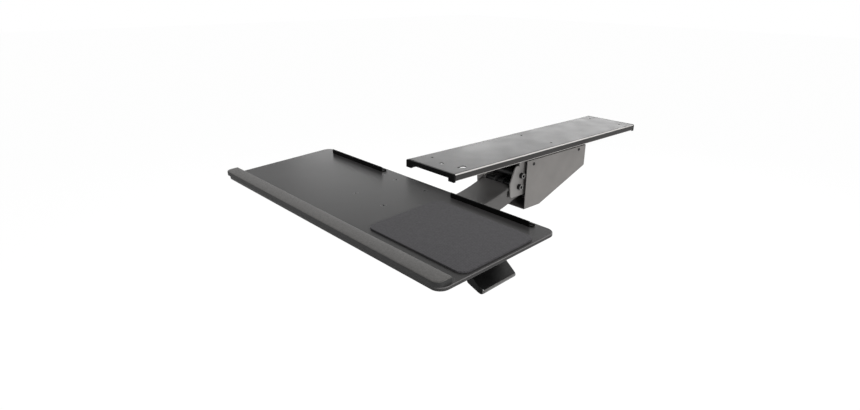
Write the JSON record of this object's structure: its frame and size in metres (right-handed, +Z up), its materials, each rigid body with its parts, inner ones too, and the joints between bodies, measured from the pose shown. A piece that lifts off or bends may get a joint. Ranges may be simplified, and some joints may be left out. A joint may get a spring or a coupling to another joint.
{
  "type": "keyboard tray",
  "caption": "Flat keyboard tray with palm rest and mouse pad on a lift-and-tilt arm that slides and swivels along a track screwed under a desk.",
  "frame": {"origin": "middle of the track's top face, the plane that lies against the underside of the desk", "axes": "+X to the user's right, +Y from the user towards the back of the desk along the track, +Z up"},
  "size_m": [0.677, 0.9513, 0.16],
  "materials": {
    "track_paint": "matte black powder coat",
    "cap_plastic": "matte black moulding",
    "zinc_steel": "zinc plated",
    "nylon": "natural nylon",
    "bracket_paint": "matte black powder coat",
    "cover_paint": "matte black powder coat",
    "black_fastener": "black oxide",
    "arm_paint": "matte black powder coat",
    "spring_paint": "gloss black paint",
    "bright_steel": "ground steel",
    "brake_lining": "brake lining",
    "grip_plastic": "fine texture moulding",
    "tray_board": "satin black laminate board",
    "rest_foam": "dimpled moulded foam",
    "pad_rubber": "matte foam rubber",
    "stop_plastic": "semi gloss moulding"
  },
  "bodies": {
    "track": {"track_channel": "track_paint", "track_front_cap": "cap_plastic", "track_rear_cap": "cap_plastic"},
    "carriage": {"carriage_plate": "zinc_steel", "slide_shoes": "nylon", "swivel_bolt": "zinc_steel", "swivel_nut": "zinc_steel"},
    "head": {"bearing_ring": "nylon", "head_bracket": "bracket_paint", "mechanism_cover": "cover_paint", "cover_screws": "black_fastener", "upper_tie_bolt": "black_fastener", "tie_tube": "arm_paint", "main_pivot_bolt": "black_fastener", "cross_bolt_nuts": "black_fastener", "link_pivot_bolts": "black_fastener", "gas_spring_rear_pin": "zinc_steel", "main_pivot_washers": "nylon"},
    "spring_cylinder": {"gas_spring_cylinder": "spring_paint"},
    "spring_rod": {"gas_spring_rod": "bright_steel", "gas_spring_eye": "zinc_steel"},
    "arm": {"lift_arm": "arm_paint", "arm_crank": "arm_paint", "crank_pin": "zinc_steel", "brake_sector": "zinc_steel", "front_pivot_bolt": "black_fastener", "front_pivot_washers": "nylon"},
    "link": {"parallel_link": "arm_paint"},
    "tilt_head": {"tilt_bracket": "arm_paint", "link_front_pin": "zinc_steel", "lever_pin": "zinc_steel", "lever_return_spring": "bright_steel"},
    "lever": {"release_lever": "arm_paint", "brake_pad": "brake_lining", "lever_grip": "grip_plastic"},
    "tray": {"tray_bracket": "arm_paint", "tilt_bolt": "black_fastener", "tilt_washers": "nylon", "tray_platform": "tray_board", "tray_screws": "black_fastener", "tray_nuts": "zinc_steel", "palm_rest": "rest_foam", "mouse_pad": "pad_rubber", "rear_stop_left": "stop_plastic", "rear_stop_right": "stop_plastic"}
  },
  "joints": [
    {"name": "track_slide", "type": "slide", "parent": "track", "child": "carriage", "axis": [0, 1, 0], "range_m": [-0.235, 0.27]},
    {"name": "swivel", "type": "hinge", "parent": "carriage", "child": "head", "pos_m": [0, -0.015, -0.02], "axis": [0, 0, 1], "continuous": true},
    {"name": "lift", "type": "hinge", "parent": "head", "child": "arm", "pos_m": [0, -0.1077, -0.08105], "axis": [1, 0, 0], "range_deg": [-18, 16]},
    {"name": "link_swing", "type": "hinge", "parent": "head", "child": "link", "pos_m": [0, -0.0677, -0.11105], "axis": [1, 0, 0], "range_deg": [-18, 16]},
    {"name": "keep_level", "type": "hinge", "parent": "arm", "child": "tilt_head", "pos_m": [0, -0.40502, -0.11798], "axis": [1, 0, 0], "range_deg": [-16, 18]},
    {"name": "spring_swing", "type": "hinge", "parent": "head", "child": "spring_cylinder", "pos_m": [0, 0.112, -0.05], "axis": [1, 0, 0], "range_deg": [-0.66, 0.74]},
    {"name": "spring_stroke", "type": "slide", "parent": "spring_cylinder", "child": "spring_rod", "axis": [0, -0.9486, -0.3166], "range_m": [-0.0114, 0.0128]},
    {"name": "tilt", "type": "hinge", "parent": "tilt_head", "child": "tray", "pos_m": [0, -0.40859, -0.05813], "axis": [1, 0, 0], "range_deg": [-12, 8]},
    {"name": "release", "type": "hinge", "parent": "tilt_head", "child": "lever", "pos_m": [-0.029, -0.45, -0.07013], "axis": [0, -1, 0], "range_deg": [0, 3], "stiffness_Nm_per_rad": 1.5, "springref_deg": -6.88}
  ],
  "couplings": [
    {"joint": "link_swing", "follows": "lift", "ratio": 1},
    {"joint": "keep_level", "follows": "lift", "ratio": -1},
    {"joint": "spring_swing", "follows": "lift", "ratio": -0.04105},
    {"joint": "spring_stroke", "follows": "lift", "m_per_rad": -0.0406}
  ]
}
